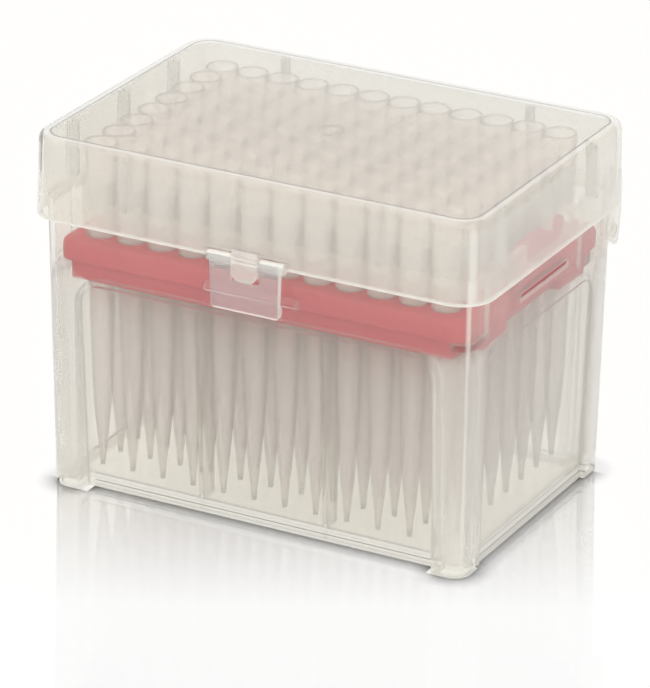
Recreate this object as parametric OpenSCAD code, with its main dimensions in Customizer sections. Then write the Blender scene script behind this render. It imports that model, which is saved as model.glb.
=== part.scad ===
// Hinged box of filter pipette tips: a base box carries a rack of 96 tips
// under a hinged lid, held shut by a swinging clip.
// Millimetres. X runs along the box, -Y is the clip side, +Z is up.
// The origin is the centre of the box on the ground.

/* [Base box] */
// Room from the centres of the outer tip columns to the ends of the base
end_room = 12; // [10:0.1:16]
// Room from the centres of the outer tip rows to the sides of the base
side_room = 10.4; // [9:0.1:15]
// Height of the base's rim above the ground
base_h = 81.5; // [76:0.5:95]
// Wall thickness of the base
base_wall = 1.5; // [1:0.1:1.8]
// Draft of the base's outer walls for each millimetre of height
base_draft = 0.019; // [0.005:0.001:0.022]
// Corner radius of the base at its rim
base_corner_r = 5; // [4.5:0.1:7]
// Height of the floor's underside above the ground
floor_lift = 2.1; // [1:0.1:4]
// Thickness of the floor
floor_t = 1.4; // [1:0.1:2]

/* [Recessed wall panels] */
// Length of each corner post along the front and back walls
post_l = 10.4; // [8:0.1:12]
// Length of each corner post along the end walls
post_w = 10.9; // [9:0.1:13]
// Recess of the front and back panels at their top edge
side_recess_top = 1.6; // [1:0.1:1.9]
// Recess of the front and back panels at the ground
side_recess_foot = 4.2; // [2:0.1:4.6]
// Recess of the end panels at their top edge
end_recess_top = 0.8; // [0.4:0.1:1.2]
// Recess of the end panels at the ground
end_recess_foot = 1.5; // [0.8:0.1:2.2]
// Radius of each panel's two upper corners
panel_corner_r = 6; // [3:0.5:9]
// Thickness of the upright ribs inside the front and back walls
rib_t = 1; // [0.8:0.1:1.5]
// Distance of each upright rib from the middle of its wall
rib_x = 18; // [17:0.1:19]

/* [Rim details] */
// Half width of the notch in each end of the rim
notch_half = 12; // [8:0.5:14]
// Depth of the notch in each end of the rim
notch_depth = 5.7; // [4:0.1:8]
// Height of the slot that the rack's snap ridge enters
slot_h = 1.2; // [1:0.1:1.6]
// Half width of that slot
slot_half = 13.4; // [10:0.2:15]

/* [Rack] */
// Distance between neighbouring tips
tip_pitch = 9; // [8.5:0.05:10]
// Drop from the base's rim to the ledges that carry the rack
rack_drop = 17.8; // [16:0.1:20]
// Height of the rack's upper tier
rack_upper_h = 5.6; // [4.5:0.1:7]
// Height of the rack's lower tier
rack_lower_h = 5; // [3:0.1:6]
// Thickness of the rack's deck
deck_t = 2; // [1.5:0.1:3]
// Thickness of the rack's walls
rack_wall = 1.2; // [1:0.1:1.5]
// Wall thickness of the sleeve under each hole of the rack
sleeve_t = 0.5; // [0.4:0.05:0.7]
// Reach of the sleeves below the rack's lower tier
sleeve_drop = 1.2; // [0.3:0.1:1.5]
// Gap between the rack's ends and the base
rack_end_gap = 1.5; // [1.2:0.1:2]
// Gap between the rack's sides and the base
rack_side_gap = 0.9; // [0.5:0.1:1.2]
// Radius of the deck's corners
rack_corner_r = 4; // [3:0.5:6]
// Half width of the grip tab at each end of the rack
tab_half = 13; // [9:0.5:14]

/* [Tips] */
// Height of a seated tip above the rack's deck
tip_stand = 25.2; // [20:0.2:30]
// Gap between the collars of neighbouring tips
tip_gap = 0.3; // [0.2:0.05:0.8]
// Height of a tip's collar
tip_collar_h = 2.6; // [1.5:0.1:5]
// Step in radius from a tip's collar to its body where it enters the rack
tip_step = 0.83; // [0.6:0.01:1.1]
// Radius of a tip's outlet end
tip_end_r = 0.6; // [0.5:0.05:0.8]
// Wall thickness of a tip
tip_wall = 0.45; // [0.35:0.05:0.6]
// Air gap between the tips and the floor
tip_floor_gap = 1.1; // [0.5:0.1:3]
// Clearance of a tip's body in its hole
tip_hole_gap = 0.12; // [0.05:0.01:0.2]
// Height of the filter plug inside a tip
filter_h = 8; // [5:0.5:10]

/* [Lid] */
// Gap between the base's rim and the lid's inner face
lid_gap = 1.6; // [1.4:0.1:2]
// Wall thickness of the lid
lid_wall = 1.5; // [1.2:0.1:1.8]
// Thickness of the lid's top
lid_top_t = 1.5; // [1.2:0.1:2]
// Draft of the lid's walls for each millimetre of height
lid_draft = 0.033; // [0.01:0.001:0.035]
// Overlap of the lid's skirt down over the base's rim
lid_overlap = 5.5; // [4.5:0.1:7]
// Headroom between the tips and the lid's top
lid_headroom = 1.8; // [1:0.1:4]
// Corner radius of the lid at its lower edge
lid_corner_r = 8.9; // [7:0.1:10]
// Rounding of the lid's upper edge
lid_edge_r = 1.6; // [0.8:0.1:2]
// Thickness of the fins inside the lid
fin_t = 1; // [0.8:0.1:1.5]
// Reach of the fins inward from the lid's wall
fin_reach = 3.5; // [2.5:0.1:3.6]
// Offset of the outer fins on the lid's ends
end_fin_y = 26; // [22:0.5:28]
// Offset of the fins on the lid's front and back
side_fin_x = 36; // [30:0.5:45]

/* [Hinge] */
// Drop from the base's rim to the hinge axis
hinge_drop = 17; // [15:0.1:19]
// Distance of the hinge axis behind the lid's lower edge
hinge_out = 1.7; // [1.6:0.1:2.6]
// Thickness of each hinge ear on the lid
ear_t = 2.5; // [2:0.1:3]
// Distance of each ear's outer face inside the end of the base
ear_inset = 2.4; // [2.2:0.1:4]
// Radius of each hinge pin
hinge_pin_r = 1.8; // [1.5:0.05:2]
// Radial clearance of the hinge pins and the clip's pins
pin_gap = 0.05; // [0.02:0.01:0.1]

/* [Clip] */
// Half width of the clip's plate at its top
clip_half = 10.2; // [9:0.1:12]
// Inward taper of each side edge of the clip's plate
clip_taper = 0.5; // [0:0.1:1.5]
// Height of the clip from its pivot to its lower lip
clip_drop = 14; // [13.5:0.25:15]
// Thickness of the clip's plate
clip_t = 0.8; // [0.6:0.1:1]
// Radius of the clip's knuckles
knuckle_r = 1.5; // [1.4:0.05:1.6]
// Radius of the pins on the lid's lug that carry the clip
clip_pin_r = 0.85; // [0.7:0.05:0.9]
// Half width of the lid's lug between the knuckles
lug_half = 3.6; // [3:0.1:4.5]

/* [Hidden] */
TIP_COLS = 12;
TIP_ROWS = 8;
function two_digits(n) = n < 10 ? str("0", n) : str(n);
function column_node(kind, col) = str(kind, "_col_", two_digits(col + 1));
TIP_NODES = [for (col = [0:TIP_COLS - 1]) column_node("tips", col)];
FILTER_NODES = [for (col = [0:TIP_COLS - 1]) column_node("filters", col)];

// Segments of a full circle on true round forms and on blended corners
$fn = 64;
BLEND_FN = 32;
// How far a cutting shape runs past what it cuts
over = 1;
// Sink of a piece into the wall that it is moulded with
sink = 0.4;
// Gap between faces that pass each other on different pieces
side_gap = 0.3;

// The array of tips, counted from the left and from the clip side, and what
// its pitch sets: the tips' radii, their holes and the base over its rim
function tip_x(col) = (col - (TIP_COLS - 1) / 2) * tip_pitch;
function tip_y(row) = (row - (TIP_ROWS - 1) / 2) * tip_pitch;
tip_collar_r = tip_pitch / 2 - tip_gap / 2;
tip_body_r = tip_collar_r - tip_step;
hole_r = tip_body_r + tip_hole_gap;
base_l = 2 * (tip_x(TIP_COLS - 1) + end_room);
base_w = 2 * (tip_y(TIP_ROWS - 1) + side_room);

// Levels above the ground
floor_top = floor_lift + floor_t;
rack_seat_z = base_h - rack_drop;
deck_z = rack_seat_z + rack_upper_h;
tier_z = rack_seat_z - rack_lower_h;
panel_top_z = rack_seat_z - 5.2;
tip_top_z = deck_z + tip_stand;
tip_end_z = floor_top + tip_floor_gap;
skirt_z = base_h - lid_overlap;
lid_ceiling_z = tip_top_z + lid_headroom;
lid_top_z = lid_ceiling_z + lid_top_t;
hinge_z = base_h - hinge_drop;

// Outer faces of the base at a height, measured from the middle
function base_x(z) = base_l / 2 - base_draft * (base_h - z);
function base_y(z) = base_w / 2 - base_draft * (base_h - z);
// Outer sizes of the lid at its lower edge
lid_l = base_l + 2 * (lid_gap + lid_wall);
lid_w = base_w + 2 * (lid_gap + lid_wall);
function lid_x(z) = lid_l / 2 - lid_draft * (z - skirt_z);
function lid_y(z) = lid_w / 2 - lid_draft * (z - skirt_z);
hinge_y = lid_w / 2 + hinge_out;

// Closest that a piece on the closed lid may come to the middle, as a
// distance towards the clip side, if it is to clear the rim as the lid opens
swing_gap = 0.2;
swing_r = norm([hinge_y + base_w / 2 + swing_gap, base_h - hinge_z]);
function swing_y(z) = sqrt(pow(swing_r, 2) - pow(z - hinge_z, 2)) - hinge_y;

// Corner posts, panels, ledges and pads of the base
panel_x = base_x(0) - post_l + 1.5;
panel_y = base_y(0) - post_w + 1.45;
ledge_t = 1.8;
ledge_gap = 0.3;
ledge_x = tip_x(TIP_COLS - 1) + hole_r + side_gap / 2 + rack_wall + ledge_gap;
ledge_y = panel_y - 1.2;
rib_reach_y = 29.2;
pad_gap = 0.3;
pad_y0 = panel_y - 7;
pad_y1 = panel_y - 1.6;
slot_z = rack_seat_z + 3.8;
notch_r = 3;

// Rack
rack_x = base_x(rack_seat_z) - base_wall - rack_end_gap;
rack_y = base_y(rack_seat_z) - base_wall - rack_side_gap;
tier_gap = 0.35;
panel_in_y = base_y(panel_top_z) - side_recess_top - base_wall;
tier_y = panel_in_y - tier_gap;
tier_x = rack_x - 0.2;
tier_notch_x = ledge_x - ledge_gap;
tier_notch_y = ledge_y - ledge_gap;
tier_recess = 3;
tier_recess_half = tab_half + 2.5;
tab_t = 1.3;
tab_top_gap = 0.4;
deck_edge_r = 2;

// Tip profile: shoulder above the deck, then knots down the tapered body,
// each a share of the body's length with its share of the body's radius
tip_shoulder_r = tip_body_r + 0.38;
tip_neck_r = tip_collar_r - 0.25;
tip_body_len = deck_z - tip_end_z;
TIP_KNOTS = [[0.19, 0.97], [0.4, 0.9], [0.6, 0.8], [0.73, 0.63], [0.88, 0.34]];
bore_top_r = tip_collar_r - tip_wall;
bore_deck_r = tip_body_r - tip_wall;
function bore_r(z) = bore_deck_r
    + (bore_top_r - bore_deck_r) * (z - deck_z) / (tip_top_z - deck_z);
filter_z = deck_z + 6.7;
filter_gap = 0.02;

// Lid details
fin_z = base_h + 0.1;
gate_r = 3.3;
gate_h = 0.4;

// Hinge ears on the lid and lugs on the base
ear_x = base_x(hinge_z) - ear_inset;
hinge_lug_t = 3.9;
hinge_lug_r = 4.2;
hinge_gusset = 6;
ear_front = 3.8;

// Clip, its lug on the lid and its catch on the base
pivot_y = -(lid_w / 2 - 0.55);
pivot_z = skirt_z + 0.05;
clip_front_y = pivot_y - 1.05;
lip_z = pivot_z - clip_drop;
bump_top_z = lip_z + 3;
bump_y = -swing_y(bump_top_z);
knuckle_x = clip_half + 0.7;
cutout_half = knuckle_x + 0.6;
cutout_top_z = pivot_z + knuckle_r + 0.65;
lug_drop = 5.05;
lug_front_y = clip_front_y - 0.7;
lug_chamfer = 1.4;
window_half = lug_half + 0.45;
window_z = pivot_z - lug_drop - 0.5;
groove_h = 1;
catch_half = clip_half + 3;
catch_z = bump_top_z + 0.5;
catch_h = 1;
catch_y = bump_y + 0.6;

// A profile in (y, z) drawn out along X, centred
module along_x(length) {
    rotate([90, 0, 90]) linear_extrude(length, center = true) children();
}

// A profile in (x, z) drawn out along Y, centred
module along_y(length) {
    rotate([90, 0, 0]) linear_extrude(length, center = true) children();
}

// The children and their mirror image across the given axis
module both(axis) {
    children();
    mirror(axis) children();
}

// The base's outline between two heights, drawn in by inset on every side
module base_form(inset, z0, z1) {
    cx = base_l / 2 - base_corner_r;
    cy = base_w / 2 - base_corner_r;
    r0 = base_corner_r - base_draft * (base_h - z0) - inset;
    r1 = base_corner_r - base_draft * (base_h - z1) - inset;
    hull() for (sx = [-1, 1], sy = [-1, 1])
        translate([sx * cx, sy * cy, z0]) cylinder(h = z1 - z0, r1 = r0, r2 = r1, $fn = BLEND_FN);
}

// A flat panel outline standing on the ground line, with rounded upper corners
module panel_outline(half, top, r) {
    translate([-half, -over]) square([2 * half, top - r + over]);
    translate([-half + r, -over]) square([2 * (half - r), top + over]);
    both([1, 0]) translate([half - r, top - r]) circle(r = r);
}

// What a recessed panel takes out of the walls: its outline grown by grow,
// from a face that leans from foot (at the ground) to crest (at the panel's
// top) outwards past reach
module panel_block(half, foot, crest, reach, grow) {
    lean = (crest - foot) / panel_top_z;
    top = panel_top_z + grow;
    intersection() {
        along_y(4 * reach) panel_outline(half + grow, top, panel_corner_r + grow);
        along_x(4 * half) polygon([
            [foot - grow - lean * over, -over], [crest - grow + lean * (grow + over), top + over],
            [reach, top + over], [reach, -over]
        ]);
    }
}

// All four panels' recesses, or with grow the blocks that back them
module panel_blocks(grow) {
    both([0, 1, 0]) panel_block(panel_x, base_y(0) - side_recess_foot,
        base_y(panel_top_z) - side_recess_top, base_w, grow);
    both([1, 0, 0]) rotate(-90) panel_block(panel_y, base_x(0) - end_recess_foot,
        base_x(panel_top_z) - end_recess_top, base_l, grow);
}

// The notch in each end of the rim, drawn in (y, z) down from the rim
module notch_outline() {
    bottom = base_h - notch_depth;
    translate([-notch_half, bottom + notch_r]) square([2 * notch_half, notch_depth]);
    translate([-notch_half + notch_r, bottom]) square([2 * (notch_half - notch_r), notch_r + over]);
    both([1, 0]) translate([notch_half - notch_r, bottom + notch_r]) circle(r = notch_r);
}

// The ledges in the corners that carry the rack, and the upright pads on the
// end walls that centre it, all running into the walls
module rack_supports() {
    z0 = rack_seat_z - ledge_t;
    intersection() {
        base_form(sink, z0 - over, base_h);
        both([1, 0, 0]) both([0, 1, 0]) {
            translate([ledge_x, ledge_y, z0]) cube([2 * post_l, 2 * post_w, ledge_t]);
            translate([rack_x + pad_gap, pad_y0, z0]) cube([post_l, pad_y1 - pad_y0, base_h]);
        }
    }
}

// An upright rib from the floor to just under the rack
module wall_rib() {
    h = tier_z - sleeve_drop - side_gap - floor_lift;
    intersection() {
        translate([rib_x - rib_t / 2, rib_reach_y, floor_lift]) cube([rib_t, base_w, h]);
        translate([0, -sink, 0]) along_x(base_l) polygon([
            [0, 0], [base_y(0) - side_recess_foot, 0],
            [base_y(panel_top_z) - side_recess_top, panel_top_z], [0, panel_top_z]
        ]);
    }
}

// A hinge lug on the back wall with the stub pin that carries the lid's ear
module hinge_lug() {
    wall_y = base_y(hinge_z) - sink;
    lug_x1 = ear_x - ear_t - side_gap;
    translate([lug_x1 - hinge_lug_t / 2, 0, 0]) along_x(hinge_lug_t) {
        translate([hinge_y, hinge_z]) circle(r = hinge_lug_r);
        polygon([
            [wall_y, hinge_z - hinge_lug_r - hinge_gusset], [hinge_y, hinge_z - hinge_lug_r],
            [hinge_y, hinge_z + hinge_lug_r], [wall_y, hinge_z + hinge_lug_r]
        ]);
    }
    translate([lug_x1 - sink, hinge_y, hinge_z]) rotate([0, 90, 0])
        cylinder(r = hinge_pin_r, h = ear_x - lug_x1 + sink);
}

// The ridge on the front wall that the clip's bump passes below
module catch_ridge() {
    root = -base_y(catch_z) + sink;
    along_x(2 * catch_half) polygon([
        [root, catch_z - catch_h], [catch_y, catch_z], [catch_y, catch_z + catch_h],
        [root, catch_z + 2 * catch_h]
    ]);
}

module base_box() {
    color([0.90, 0.89, 0.86, 0.5]) {
        difference() {
            base_form(0, 0, base_h);
            difference() {
                union() {
                    base_form(base_wall, floor_top, base_h + over);
                    base_form(base_wall, -over, floor_lift);
                }
                panel_blocks(base_wall);
            }
            panel_blocks(0);
            along_x(2 * base_l) notch_outline();
            translate([0, 0, slot_z + slot_h / 2]) cube([2 * base_l, 2 * slot_half, slot_h], center = true);
        }
        rack_supports();
        both([1, 0, 0]) {
            both([0, 1, 0]) wall_rib();
            hinge_lug();
        }
        catch_ridge();
    }
}

// The rack's lower tier in plan, drawn in by inset: its corners are notched
// around the base's ledges and its ends are stepped in behind the grip tabs
module tier_outline(inset) {
    difference() {
        union() {
            square([2 * (tier_notch_x - inset), 2 * (tier_y - inset)], center = true);
            square([2 * (tier_x - inset), 2 * (tier_notch_y - inset)], center = true);
        }
        both([1, 0]) translate([tier_x - tier_recess - inset, -tier_recess_half - inset])
            square([2 * tier_recess, 2 * (tier_recess_half + inset)]);
    }
}

// The rack's upper tier, its top edge rounded
module deck_form() {
    hull() for (sx = [-1, 1], sy = [-1, 1])
        translate([sx * (rack_x - rack_corner_r), sy * (rack_y - rack_corner_r), 0])
            rotate_extrude($fn = BLEND_FN) polygon(concat(
                [[0, rack_seat_z], [rack_corner_r, rack_seat_z]],
                [for (a = [0:30:90]) [
                    rack_corner_r - deck_edge_r * (1 - cos(a)),
                    deck_z - deck_edge_r * (1 - sin(a))
                ]],
                [[0, deck_z]]
            ));
}

// The hollow under the deck's upper tier
module deck_hollow() {
    r = rack_corner_r - rack_wall;
    z0 = rack_seat_z - over;
    hull() for (sx = [-1, 1], sy = [-1, 1])
        translate([sx * (rack_x - rack_corner_r), sy * (rack_y - rack_corner_r), z0])
            cylinder(r = r, h = deck_z - deck_t - z0, $fn = BLEND_FN);
}

// The grip tab on the rack's end face, with the snap ridge in the base's slot
module grip_tab() {
    top = base_h - tab_top_gap;
    r = 2;
    translate([rack_x + tab_t / 2, 0, 0]) along_x(tab_t) {
        translate([-tab_half, rack_seat_z]) square([2 * tab_half, top - rack_seat_z - r]);
        translate([-tab_half + r, rack_seat_z]) square([2 * (tab_half - r), top - rack_seat_z]);
        both([1, 0]) translate([tab_half - r, top - r]) circle(r = r);
    }
    ridge_h = slot_h - 0.4;
    translate([rack_x, -slot_half + side_gap, slot_z + (slot_h - ridge_h) / 2])
        cube([base_x(slot_z) - rack_x - sink, 2 * (slot_half - side_gap), ridge_h]);
}

// The children at every tip's place
module at_tips() {
    for (col = [0:TIP_COLS - 1], row = [0:TIP_ROWS - 1])
        translate([tip_x(col), tip_y(row), 0]) children();
}

module tip_rack() {
    color([0.74, 0.27, 0.30]) difference() {
        union() {
            difference() {
                deck_form();
                deck_hollow();
            }
            translate([0, 0, tier_z]) linear_extrude(deck_z - deck_t - tier_z + sink) difference() {
                tier_outline(0);
                tier_outline(rack_wall);
            }
            at_tips() translate([0, 0, tier_z - sleeve_drop])
                cylinder(r = hole_r + sleeve_t, h = deck_z - deck_t - tier_z + sleeve_drop + sink);
        }
        at_tips() translate([0, 0, tier_z - sleeve_drop - over])
            cylinder(r = hole_r, h = deck_z - tier_z + sleeve_drop + 2 * over);
    }
}

module rack_grips() {
    color([0.74, 0.27, 0.30]) both([1, 0, 0]) grip_tab();
}

// One hollow filter tip, standing on its shoulder in a hole of the deck
module tip() {
    collar_z = tip_top_z - tip_collar_h;
    outer = concat(
        [[tip_collar_r, tip_top_z], [tip_collar_r, collar_z], [tip_neck_r, collar_z - 0.6],
         [tip_shoulder_r, deck_z], [tip_body_r, deck_z]],
        [for (k = TIP_KNOTS) [tip_body_r * k[1], deck_z - tip_body_len * k[0]]],
        [[tip_end_r, tip_end_z]]
    );
    inner = concat(
        [[tip_end_r / 2, tip_end_z]],
        [for (i = [len(TIP_KNOTS) - 1:-1:0]) [
            tip_body_r * TIP_KNOTS[i][1] - tip_wall, deck_z - tip_body_len * TIP_KNOTS[i][0]
        ]],
        [[bore_deck_r, deck_z], [bore_top_r, tip_top_z]]
    );
    rotate_extrude() polygon(concat(outer, inner));
}

// The porous filter plug held in a tip's bore
module filter() {
    translate([0, 0, filter_z]) cylinder(h = filter_h,
        r1 = bore_r(filter_z) - filter_gap, r2 = bore_r(filter_z + filter_h) - filter_gap);
}

module tips_column(col) {
    color([0.93, 0.92, 0.90, 0.6]) for (row = [0:TIP_ROWS - 1])
        translate([tip_x(col), tip_y(row), 0]) tip();
}

module filters_column(col) {
    color([0.97, 0.97, 0.95]) for (row = [0:TIP_ROWS - 1])
        translate([tip_x(col), tip_y(row), 0]) filter();
}

// The lid's drafted form drawn in by inset, its top edge rounded by edge_r
module lid_form(inset, z0, z1, edge_r) {
    r0 = lid_corner_r - lid_draft * (z0 - skirt_z) - inset;
    r1 = lid_corner_r - lid_draft * (z1 - edge_r - skirt_z) - inset;
    hull() for (sx = [-1, 1], sy = [-1, 1])
        translate([sx * (lid_l / 2 - lid_corner_r), sy * (lid_w / 2 - lid_corner_r), 0])
            rotate_extrude($fn = BLEND_FN) polygon(concat(
                [[0, z0], [r0, z0]],
                [for (a = [0:22.5:90]) [r1 - edge_r * (1 - cos(a)), z1 - edge_r * (1 - sin(a))]],
                [[0, z1]]
            ));
}

// The fins inside the lid's walls, from its ceiling to just above the rim
module lid_fins() {
    h = lid_ceiling_z - fin_z + sink;
    end_root = lid_x(lid_top_z) - lid_wall / 2;
    side_root = lid_y(lid_top_z) - lid_wall / 2;
    end_tip = lid_x(fin_z) - lid_wall - fin_reach;
    side_tip = lid_y(fin_z) - lid_wall - fin_reach;
    both([1, 0, 0]) {
        for (y = [-end_fin_y, 0, end_fin_y])
            translate([end_tip, y - fin_t / 2, fin_z]) cube([end_root - end_tip, fin_t, h]);
        both([0, 1, 0]) translate([side_fin_x - fin_t / 2, side_tip, fin_z])
            cube([fin_t, side_root - side_tip, h]);
    }
}

// A hinge ear that hangs from the lid's back edge, with its round bore
module hinge_ear() {
    ear_top = skirt_z + 0.4;
    translate([ear_x - ear_t / 2, 0, 0]) difference() {
        along_x(ear_t) translate([hinge_y, hinge_z]) polygon([
            [-ear_front, ear_top - hinge_z], [-ear_front, -1.3], [0.9, -4.2], [2.1, -4.1],
            [2.65, -3.5], [3.45, 0.5], [4.15, 6.5], [4.2, ear_top - hinge_z]
        ]);
        translate([0, hinge_y, hinge_z]) rotate([0, 90, 0])
            cylinder(r = hinge_pin_r + pin_gap, h = ear_t + 2 * over, center = true);
    }
}

// The sloped cheek that runs each ear into the lid's back corner
module ear_cheek() {
    root = lid_y(skirt_z) - lid_wall / 2;
    translate([ear_x - ear_t / 2, 0, 0]) along_x(ear_t) polygon([
        [hinge_y - ear_front, skirt_z], [hinge_y + 4.2, skirt_z],
        [hinge_y + 4.2, skirt_z + 1.2], [root, skirt_z + 7], [hinge_y - ear_front, skirt_z + 1]
    ]);
}

// The lug in the middle of the lid's front edge, with the clip's two pins
module clip_lug() {
    z0 = pivot_z - lug_drop;
    back_y = -swing_y(z0);
    top_z = cutout_top_z + 0.7;
    intersection() {
        along_x(2 * lug_half) polygon([
            [lug_front_y, z0], [lug_front_y, top_z - 0.9], [lug_front_y + 0.9, top_z],
            [-lid_y(skirt_z) + lid_wall / 2, top_z], [-lid_y(skirt_z) + lid_wall, skirt_z],
            [back_y, z0]
        ]);
        along_y(4 * base_w) polygon([
            [-lug_half, z0 + lug_chamfer], [-lug_half + lug_chamfer, z0],
            [lug_half - lug_chamfer, z0], [lug_half, z0 + lug_chamfer],
            [lug_half, top_z + over], [-lug_half, top_z + over]
        ]);
    }
    translate([0, pivot_y, pivot_z]) rotate([0, 90, 0])
        cylinder(r = clip_pin_r, h = 2 * (knuckle_x - side_gap), center = true);
}

module lid_cover() {
    color([0.91, 0.90, 0.88, 0.5]) {
        difference() {
            lid_form(0, skirt_z, lid_top_z, lid_edge_r);
            lid_form(lid_wall, skirt_z - over, lid_ceiling_z, lid_edge_r / 2);
            translate([0, -lid_w / 2, skirt_z - over]) along_y(lid_wall * 4)
                translate([-cutout_half, 0]) square([2 * cutout_half, cutout_top_z - skirt_z + over]);
        }
        lid_fins();
        translate([0, 0, lid_ceiling_z - gate_h]) cylinder(r = gate_r, h = gate_h + sink);
        both([1, 0, 0]) {
            hinge_ear();
            ear_cheek();
        }
        clip_lug();
    }
}

// The clip's plate in section (y, z): a thin plate that thickens to the bump
module clip_section() {
    lip_r = (bump_y - clip_front_y) / 2;
    inner_y = clip_front_y + clip_t;
    top_z = pivot_z - knuckle_r * 0.5;
    polygon([
        [clip_front_y, lip_z + lip_r], [clip_front_y, top_z], [inner_y, top_z],
        [inner_y, bump_top_z + 1.6], [bump_y, bump_top_z], [bump_y, lip_z + lip_r]
    ]);
    translate([(clip_front_y + bump_y) / 2, lip_z + lip_r]) circle(r = lip_r);
}

// The clip's front outline: tapered sides and rounded lower corners
module clip_outline() {
    r = 1.6;
    low = clip_half - clip_taper;
    polygon([
        [-clip_half, pivot_z], [-low, lip_z + r], [-low + r, lip_z],
        [low - r, lip_z], [low, lip_z + r], [clip_half, pivot_z]
    ]);
    both([1, 0]) translate([low - r, lip_z + r]) circle(r = r);
}

module latch_clip() {
    knuckle_l = knuckle_x - window_half;
    color([0.92, 0.91, 0.91, 0.5]) difference() {
        union() {
            intersection() {
                along_x(2 * knuckle_x) clip_section();
                along_y(4 * base_w) clip_outline();
            }
            both([1, 0, 0]) translate([window_half, pivot_y, pivot_z]) rotate([0, 90, 0])
                cylinder(r = knuckle_r, h = knuckle_l);
        }
        translate([-window_half, -base_w, window_z]) cube([2 * window_half, base_w, lug_drop * 2]);
        both([1, 0, 0]) {
            translate([window_half - over, pivot_y, pivot_z]) rotate([0, 90, 0])
                cylinder(r = clip_pin_r + pin_gap, h = knuckle_l + 2 * over);
            translate([window_half + 0.8, clip_front_y - over, pivot_z - knuckle_r - groove_h - 0.3])
                cube([clip_half - window_half - 1.8, over + clip_t / 2, groove_h]);
        }
    }
}

base_box();
tip_rack();
rack_grips();
lid_cover();
latch_clip();
for (col = [0:TIP_COLS - 1]) {
    tips_column(col);
    filters_column(col);
}
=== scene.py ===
import math
from collections import namedtuple

import bmesh
import bpy
from bpy.props import FloatProperty, FloatVectorProperty, IntProperty, PointerProperty
from mathutils import Matrix, Vector


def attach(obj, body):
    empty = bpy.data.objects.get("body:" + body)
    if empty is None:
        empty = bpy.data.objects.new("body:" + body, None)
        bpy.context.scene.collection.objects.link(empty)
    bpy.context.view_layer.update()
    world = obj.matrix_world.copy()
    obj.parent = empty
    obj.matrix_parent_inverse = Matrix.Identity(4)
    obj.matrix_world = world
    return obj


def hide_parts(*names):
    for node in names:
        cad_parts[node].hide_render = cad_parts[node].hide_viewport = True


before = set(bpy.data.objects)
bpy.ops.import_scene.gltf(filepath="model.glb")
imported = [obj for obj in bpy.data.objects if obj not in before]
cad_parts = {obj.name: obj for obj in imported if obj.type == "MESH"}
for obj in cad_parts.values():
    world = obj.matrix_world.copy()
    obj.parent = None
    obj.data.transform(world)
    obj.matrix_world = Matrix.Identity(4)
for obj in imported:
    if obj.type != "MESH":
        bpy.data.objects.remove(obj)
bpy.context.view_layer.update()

bl_info = {
    "name": "Pipette Tip Box",
    "version": (1, 0, 0),
    "blender": (4, 5, 0),
    "location": "View3D > Sidebar > Tip Box",
    "description": "Dresses a hinged box of filter pipette tips in moulded plastics",
    "category": "Object",
}

COLUMNS = 12
ROWS = 8

# Points around a tip, and how a CAD node's copy is welded, flattened and shaded
AROUND = 60
WELD = 1e-6
FLAT = math.radians(0.4)
CREASE = math.radians(32.0)

# Profile of a tip. Each row of the collar, neck and shoulder is a height under the rim or over the
# deck, what is added to the radius there, and the share of the ribs' depth. The mouth is the same
# inside, without ribs. The taper below the deck is shares of the tip's length and of its radius.
COLLAR = (
    (0.00005, -0.00022, 0.0),
    (0.00022, -0.00004, 0.0),
    (0.0005, 0.0, 0.0),
    (0.0024, 0.0, 0.0),
    (0.0027, -0.00006, 0.0),
)
NECK = ((0.0031, -0.0001, 0.2), (0.0040, -0.00005, 1.0))
SHOULDER = ((0.0042, 0.00012, 1.0), (0.0030, 0.00002, 0.1), (0.0007, 0.0, 0.0), (0.00005, -0.0001, 0.0))
MOUTH = ((0.0005, -0.00003), (0.00005, 0.0001))
TAPER = (
    (0.19, 0.97),
    (0.4, 0.9),
    (0.6, 0.8),
    (0.67, 0.735),
    (0.73, 0.655),
    (0.8, 0.535),
    (0.88, 0.38),
    (0.94, 0.265),
)

# Places on the base where its plastic's painted highlights, painted shade and haze lie, as distances from
# the box's middle and floor
SIDE_PANEL_X, SIDE_WALL_Y = 0.0492, 0.0352
END_PANEL_Y, END_WALL_X = 0.0315, 0.0555
SEAM_ZS = ((0.0040, 0.00018), (0.0020, 0.00015))
PANEL_FOOT_Z = 0.0038
RIB_X, RIB_HALF, RIB_TOP_Z = 0.018, 0.0007, 0.057
RIB_IN_Y, RIB_OUT_Y = 0.0285, 0.0351
POST_X, POST_Y = 0.0496, 0.0320
POST_SOLE_Z, POST_FOOT_Z, POST_TOP_Z = 0.0007, 0.004, 0.060
SHOULDER_Z = 0.0575
SLOT_Z, SLOT_HALF_Z, SLOT_HALF_Y, SLOT_FACE_X = 0.0675, 0.0011, 0.0140, 0.0605

# The same on the lid. The band is the painted highlight frame around its flat top, and a painted shade line
# runs inside it.
LID_STRAIGHT_X, LID_STRAIGHT_Y, LID_CORNER_R = 0.0557, 0.0361, 0.0082
LID_TOP_Z, LID_HEM_Z = 0.0955, 0.0760
BAND_INSET, ROUNDED_INSET, LINE_INSET, LINE_HALF = 0.0028, 0.0013, 0.0030, 0.00028
FIN_HALF, END_FIN_Y, SIDE_FIN_X = 0.0007, 0.026, 0.036
END_FIN_XS, SIDE_FIN_YS = (0.0585, 0.0622), (0.0390, 0.0427)
LUG_HALF_X, LUG_Y, LUG_HALF_Y, LUG_TOP_Z = 0.0042, -0.0500, 0.0052, 0.0790

# The same on the clip
CLIP_CUT_X, CLIP_LIP_Z, CLIP_LIP_HALF, KNUCKLE_Z = 0.00925, 0.0620, 0.0009, 0.0742
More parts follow.
